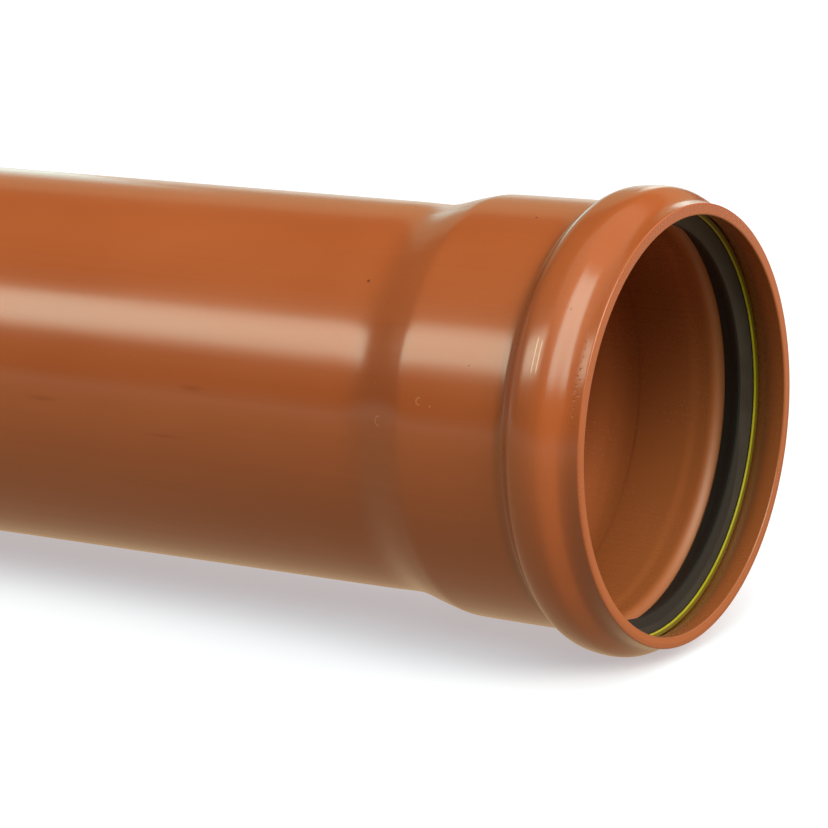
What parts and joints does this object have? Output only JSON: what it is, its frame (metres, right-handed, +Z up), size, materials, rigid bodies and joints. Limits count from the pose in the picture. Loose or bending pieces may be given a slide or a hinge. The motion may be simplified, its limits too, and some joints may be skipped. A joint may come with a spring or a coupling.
{
  "type": "plastic sewer pipe with ring-seal socket",
  "caption": "Short length of orange-brown plastic drain pipe with a belled ring-seal socket on one end and a chamfered plain spigot on the other.",
  "frame": {"origin": "on the floor under the middle of the pipe's bounding box", "axes": "+X along the pipe towards the socket's mouth, +Z up, +Y across; lying on the bead and the spigot end, so the pipe's own axis rises 1.04 degrees towards +X"},
  "size_m": [0.562, 0.1296, 0.1295],
  "materials": {
    "pipe_plastic": "semi-gloss orange-brown PVC-U with faint lengthwise extrusion streaks",
    "seal_rubber": "matt black rubber",
    "retainer_plastic": "satin yellow polypropylene"
  },
  "bodies": {
    "root": {"pipe": "pipe_plastic", "seal_ring": "seal_rubber", "retaining_ring": "retainer_plastic"}
  },
  "joints": []
}
